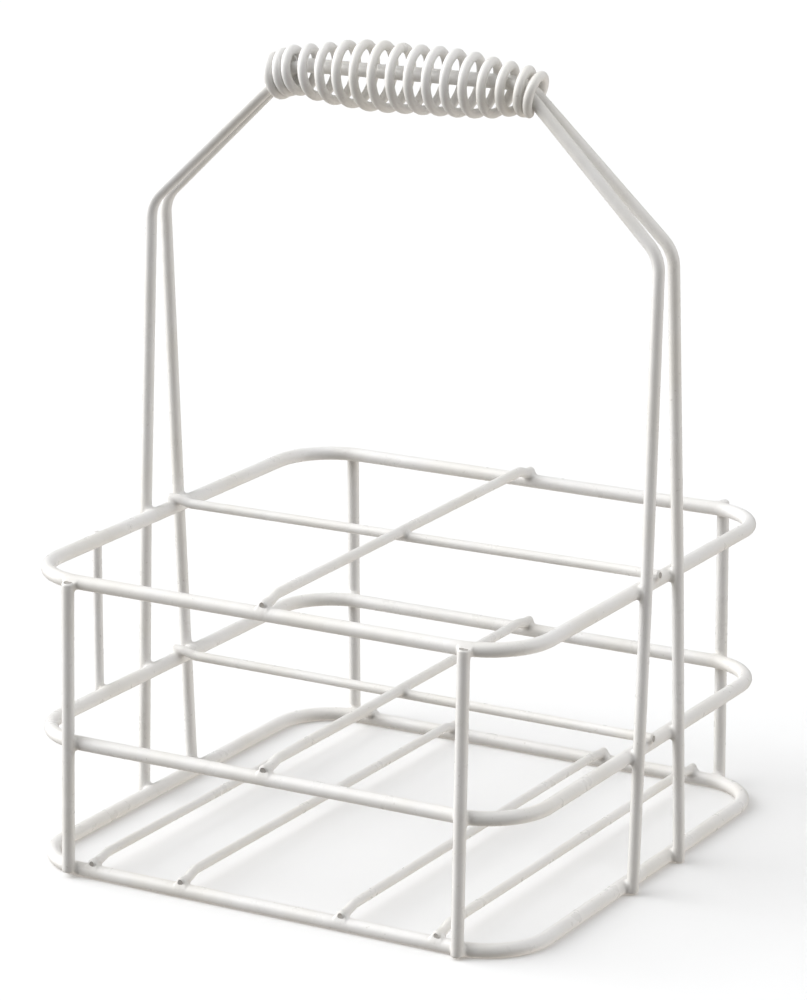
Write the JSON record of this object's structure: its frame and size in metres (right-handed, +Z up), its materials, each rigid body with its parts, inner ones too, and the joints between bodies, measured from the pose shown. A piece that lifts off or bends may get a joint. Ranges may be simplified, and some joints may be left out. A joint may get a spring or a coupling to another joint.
{
  "type": "milk bottle crate",
  "caption": "Welded wire milk bottle crate with square rounded rings, crossed dividers, a slatted wire floor and a tall bent carrying handle with a coiled wire grip.",
  "frame": {"origin": "on the ground, under the middle of the crate", "axes": "+Z up through the handle, +X to the right along the front, +Y to the back"},
  "size_m": [0.1966, 0.1978, 0.2702],
  "materials": {
    "ring_coating": "off-white dip coating on steel wire, semi-gloss",
    "post_coating": "off-white dip coating on steel wire, semi-gloss",
    "divider_coating": "off-white dip coating on steel wire, semi-gloss",
    "floor_coating": "off-white dip coating on steel wire, semi-gloss",
    "handle_coating": "off-white dip coating on steel wire, semi-gloss",
    "coil_coating": "off-white dip coating on steel wire, semi-gloss"
  },
  "bodies": {
    "root": {"bottom_ring": "ring_coating", "middle_ring": "ring_coating", "top_ring": "ring_coating", "front_left_post": "post_coating", "front_right_post": "post_coating", "back_left_post": "post_coating", "back_right_post": "post_coating", "left_side_stay": "post_coating", "top_long_divider": "divider_coating", "top_cross_divider": "divider_coating", "middle_long_divider": "divider_coating", "middle_cross_divider": "divider_coating", "floor_wire_1": "floor_coating", "floor_wire_2": "floor_coating", "floor_wire_3": "floor_coating", "floor_wire_4": "floor_coating", "front_handle_wire": "handle_coating", "rear_handle_wire": "handle_coating", "grip_coil": "coil_coating"}
  },
  "joints": []
}
